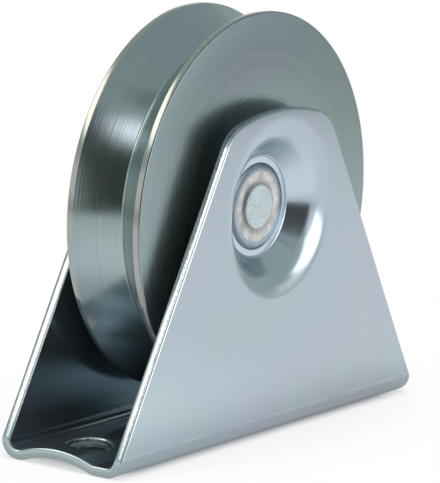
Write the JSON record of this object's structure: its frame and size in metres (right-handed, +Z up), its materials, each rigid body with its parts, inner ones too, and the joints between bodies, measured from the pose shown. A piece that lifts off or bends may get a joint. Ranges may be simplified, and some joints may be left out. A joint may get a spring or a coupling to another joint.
{
  "type": "v-groove track wheel in a mounting bracket",
  "caption": "V-groove track wheel on a ball bearing, riveted between the dished cheeks of a folded steel bracket that bolts down through its base.",
  "frame": {"origin": "middle of the bracket's base, at the level of the two feet that it stands on", "axes": "+X along the bracket and its base holes, +Y along the axle away from the cheek that the picture shows, +Z up from the base to the wheel"},
  "size_m": [0.13, 0.0376, 0.1089],
  "materials": {
    "zinc_sheet": "bright zinc plate with a faint green and lilac passivate",
    "turned_steel": "zinc plate over fine turning lines",
    "formed_pin": "zinc plate, bare and matt where the head was formed",
    "washer_steel": "plain zinc plate",
    "bearing_steel": "ground and polished",
    "cage_steel": "pressed, satin",
    "spring_steel": "dark phosphated",
    "seal_rubber": "satin black rubber"
  },
  "bodies": {
    "bracket": {"bracket": "zinc_sheet", "axle_pin": "formed_pin", "spacer_front": "washer_steel", "spacer_back": "washer_steel", "bearing_inner_ring": "bearing_steel"},
    "wheel": {"wheel": "turned_steel", "bearing_outer_ring": "bearing_steel", "seal_front": "seal_rubber", "seal_back": "seal_rubber", "retaining_ring": "spring_steel"},
    "cage": {"cage_front": "cage_steel", "cage_back": "cage_steel", "cage_rivets": "cage_steel"},
    "ball_1": {"ball_1": "bearing_steel"},
    "ball_2": {"ball_2": "bearing_steel"},
    "ball_3": {"ball_3": "bearing_steel"},
    "ball_4": {"ball_4": "bearing_steel"},
    "ball_5": {"ball_5": "bearing_steel"},
    "ball_6": {"ball_6": "bearing_steel"},
    "ball_7": {"ball_7": "bearing_steel"},
    "ball_8": {"ball_8": "bearing_steel"}
  },
  "joints": [
    {"name": "wheel_spin", "type": "hinge", "parent": "bracket", "child": "wheel", "pos_m": [0, 0, 0.0589], "axis": [0, 1, 0], "continuous": true},
    {"name": "cage_orbit", "type": "hinge", "parent": "bracket", "child": "cage", "pos_m": [0, 0, 0.0589], "axis": [0, 1, 0], "continuous": true},
    {"name": "ball_1_roll", "type": "hinge", "parent": "cage", "child": "ball_1", "pos_m": [0.01675, 0, 0.0589], "axis": [0, 1, 0], "continuous": true},
    {"name": "ball_2_roll", "type": "hinge", "parent": "cage", "child": "ball_2", "pos_m": [0.01184, 0, 0.07074], "axis": [0, 1, 0], "continuous": true},
    {"name": "ball_3_roll", "type": "hinge", "parent": "cage", "child": "ball_3", "pos_m": [0, 0, 0.07565], "axis": [0, 1, 0], "continuous": true},
    {"name": "ball_4_roll", "type": "hinge", "parent": "cage", "child": "ball_4", "pos_m": [-0.01184, 0, 0.07074], "axis": [0, 1, 0], "continuous": true},
    {"name": "ball_5_roll", "type": "hinge", "parent": "cage", "child": "ball_5", "pos_m": [-0.01675, 0, 0.0589], "axis": [0, 1, 0], "continuous": true},
    {"name": "ball_6_roll", "type": "hinge", "parent": "cage", "child": "ball_6", "pos_m": [-0.01184, 0, 0.04706], "axis": [0, 1, 0], "continuous": true},
    {"name": "ball_7_roll", "type": "hinge", "parent": "cage", "child": "ball_7", "pos_m": [0, 0, 0.04215], "axis": [0, 1, 0], "continuous": true},
    {"name": "ball_8_roll", "type": "hinge", "parent": "cage", "child": "ball_8", "pos_m": [0.01184, 0, 0.04706], "axis": [0, 1, 0], "continuous": true}
  ],
  "couplings": [
    {"joint": "cage_orbit", "follows": "wheel_spin", "ratio": 0.61848},
    {"joint": "ball_1_roll", "follows": "wheel_spin", "ratio": 1.9916},
    {"joint": "ball_2_roll", "follows": "wheel_spin", "ratio": 1.9916},
    {"joint": "ball_3_roll", "follows": "wheel_spin", "ratio": 1.9916},
    {"joint": "ball_4_roll", "follows": "wheel_spin", "ratio": 1.9916},
    {"joint": "ball_5_roll", "follows": "wheel_spin", "ratio": 1.9916},
    {"joint": "ball_6_roll", "follows": "wheel_spin", "ratio": 1.9916},
    {"joint": "ball_7_roll", "follows": "wheel_spin", "ratio": 1.9916},
    {"joint": "ball_8_roll", "follows": "wheel_spin", "ratio": 1.9916}
  ]
}
